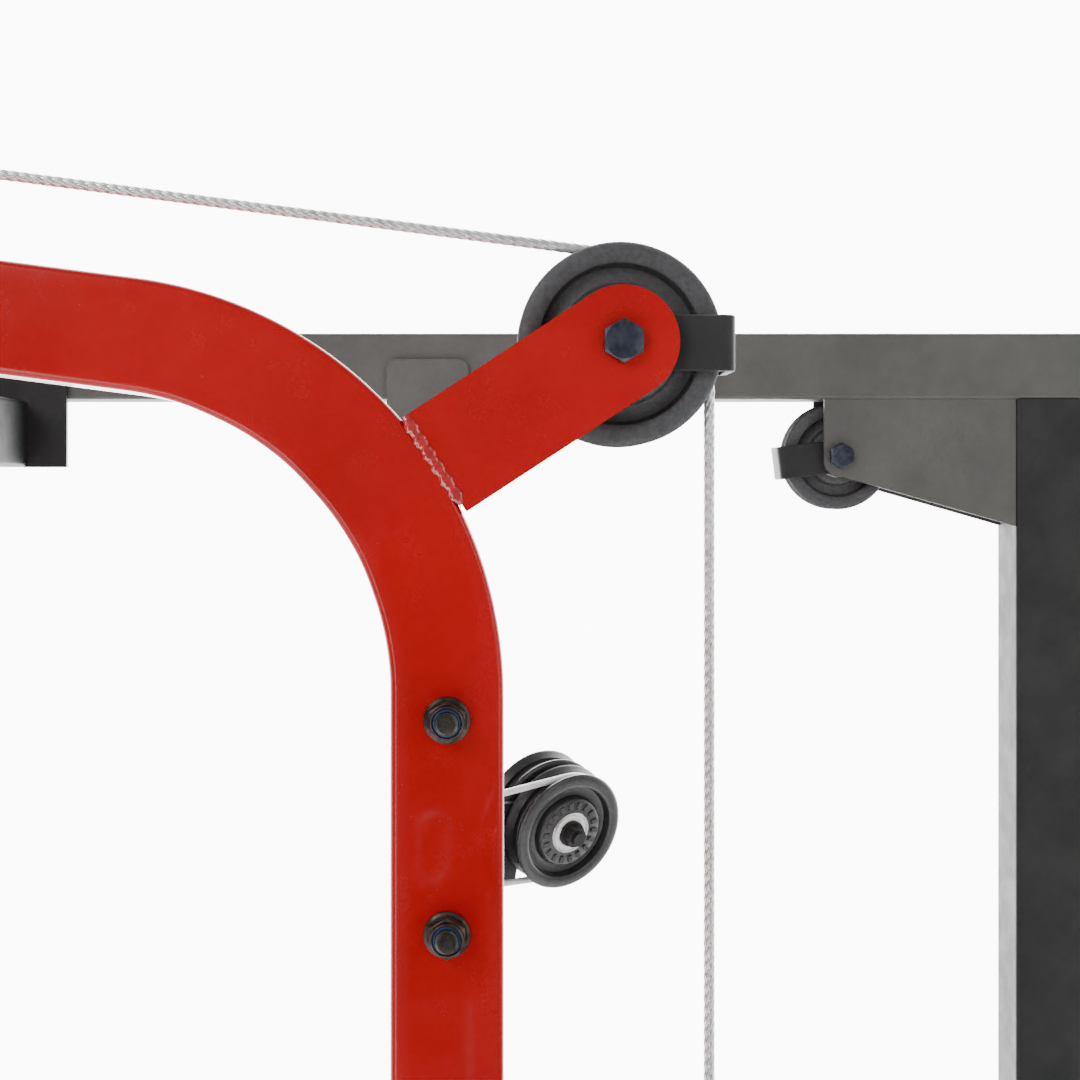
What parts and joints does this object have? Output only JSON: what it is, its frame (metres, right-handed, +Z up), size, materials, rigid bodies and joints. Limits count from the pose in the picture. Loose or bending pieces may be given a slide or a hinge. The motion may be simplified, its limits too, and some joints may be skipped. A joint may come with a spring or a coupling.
{
  "type": "power cage",
  "caption": "Power cage with a red centre lat-pulldown tower, side cable pulleys, safety bars, bar hooks and a plate-loaded weight carriage",
  "frame": {"origin": "on the floor, in the middle of the footprint", "axes": "+X to the user's right side of the cage, -Y the open front that the user walks in from, +Z up"},
  "size_m": [1.59, 1.6, 2.1492],
  "materials": {
    "black_paint": "powder coated",
    "red_paint": "glossy powder coated",
    "black_nylon": "moulded matt",
    "dark_zinc": "dark zinc plated",
    "bare_steel": "zinc plated",
    "steel_cable": "twisted wire",
    "chrome": "polished chrome",
    "black_rubber": "moulded matt",
    "white_nylon": "machined"
  },
  "bodies": {
    "frame": {"rubber_feet": "black_rubber", "base_rails": "black_paint", "base_crossmembers": "black_paint", "front_uprights": "black_paint", "mid_uprights": "black_paint", "rear_columns": "black_paint", "top_rails": "black_paint", "splice_plates": "black_paint", "pull_up_bar": "black_paint", "arm_crossmember": "black_paint", "rear_crossmember": "black_paint", "tower": "red_paint", "tower_crossmembers": "black_paint", "pulley_bracket": "red_paint", "weld_beads": "red_paint", "arm_bracket": "red_paint", "cable_straps": "black_paint", "pulley_bolts": "dark_zinc", "pulley_bushes": "bare_steel", "pulley_spacers": "dark_zinc", "tower_bolts": "dark_zinc", "tower_nuts": "dark_zinc", "accessory_rack": "black_paint", "guide_rods": "chrome", "rod_bracket": "black_paint", "rod_base": "black_paint", "buffers": "black_rubber", "cable_top": "steel_cable", "gussets": "black_paint", "swivel_mounts": "black_paint", "side_cables": "steel_cable", "safety_bars": "black_paint", "j_hooks": "red_paint", "plate_pegs": "chrome", "frame_bolts": "dark_zinc", "lock_nuts": "dark_zinc", "tube_caps": "black_rubber"},
    "carriage": {"carriage_frame": "red_paint", "carriage_bushes": "white_nylon", "plate_horns": "chrome", "cable_eye": "bare_steel", "cable_rear": "steel_cable"},
    "pull_bar": {"lat_bar": "chrome", "lat_grips": "black_rubber", "snap_link": "bare_steel", "cable_front": "steel_cable"},
    "rear_wheel": {"sheave_rear": "black_nylon"},
    "front_wheel": {"sheave_front": "black_nylon"},
    "side_wheel_left": {"sheave_side_left": "black_nylon"},
    "side_wheel_right": {"sheave_side_right": "black_nylon"},
    "swivel_arm_left": {"swivel_left": "black_paint", "handle_cable_left": "steel_cable"},
    "swivel_arm_right": {"swivel_right": "black_paint", "handle_cable_right": "steel_cable"},
    "inner_wheel_left": {"sheave_left_inner": "black_nylon"},
    "outer_wheel_left": {"sheave_left_outer": "black_nylon"},
    "inner_wheel_right": {"sheave_right_inner": "black_nylon"},
    "outer_wheel_right": {"sheave_right_outer": "black_nylon"}
  },
  "joints": [
    {"name": "carriage_lift", "type": "slide", "parent": "frame", "child": "carriage", "axis": [0, 0, 1], "range_m": [0, 1.1], "deforming": ["cable_rear"]},
    {"name": "bar_pull", "type": "slide", "parent": "frame", "child": "pull_bar", "axis": [0, 0, -1], "range_m": [0, 1.1], "deforming": ["cable_front"]},
    {"name": "rear_wheel_spin", "type": "hinge", "parent": "frame", "child": "rear_wheel", "pos_m": [0, 0.32731, 2.02129], "axis": [1, 0, 0], "continuous": true},
    {"name": "front_wheel_spin", "type": "hinge", "parent": "frame", "child": "front_wheel", "pos_m": [0, -0.30688, 2.10321], "axis": [1, 0, 0], "continuous": true},
    {"name": "side_wheel_left_spin", "type": "hinge", "parent": "frame", "child": "side_wheel_left", "pos_m": [-0.57, 0.542, 1.982], "axis": [1, 0, 0], "continuous": true},
    {"name": "side_wheel_right_spin", "type": "hinge", "parent": "frame", "child": "side_wheel_right", "pos_m": [0.57, 0.542, 1.982], "axis": [1, 0, 0], "continuous": true},
    {"name": "swivel_left_turn", "type": "hinge", "parent": "frame", "child": "swivel_arm_left", "pos_m": [-0.503, 0.26, 1.652], "axis": [0, 0, 1], "range_deg": [-60, 0]},
    {"name": "swivel_right_turn", "type": "hinge", "parent": "frame", "child": "swivel_arm_right", "pos_m": [0.503, 0.26, 1.652], "axis": [0, 0, 1], "range_deg": [0, 60]},
    {"name": "inner_wheel_left_spin", "type": "hinge", "parent": "swivel_arm_left", "child": "inner_wheel_left", "pos_m": [-0.5433, 0.32206, 1.707], "axis": [-0.8062, -0.5235, 0.2756], "continuous": true},
    {"name": "inner_wheel_right_spin", "type": "hinge", "parent": "swivel_arm_right", "child": "inner_wheel_right", "pos_m": [0.5433, 0.32206, 1.707], "axis": [0.8062, -0.5235, 0.2756], "continuous": true},
    {"name": "outer_wheel_left_spin", "type": "hinge", "parent": "swivel_arm_left", "child": "outer_wheel_left", "pos_m": [-0.5433, 0.32206, 1.707], "axis": [-0.8062, -0.5235, 0.2756], "continuous": true},
    {"name": "outer_wheel_right_spin", "type": "hinge", "parent": "swivel_arm_right", "child": "outer_wheel_right", "pos_m": [0.5433, 0.32206, 1.707], "axis": [0.8062, -0.5235, 0.2756], "continuous": true}
  ],
  "couplings": [
    {"joint": "bar_pull", "follows": "carriage_lift", "ratio": 1},
    {"joint": "rear_wheel_spin", "follows": "carriage_lift", "rad_per_m": 24.39},
    {"joint": "front_wheel_spin", "follows": "carriage_lift", "rad_per_m": 24.39}
  ]
}
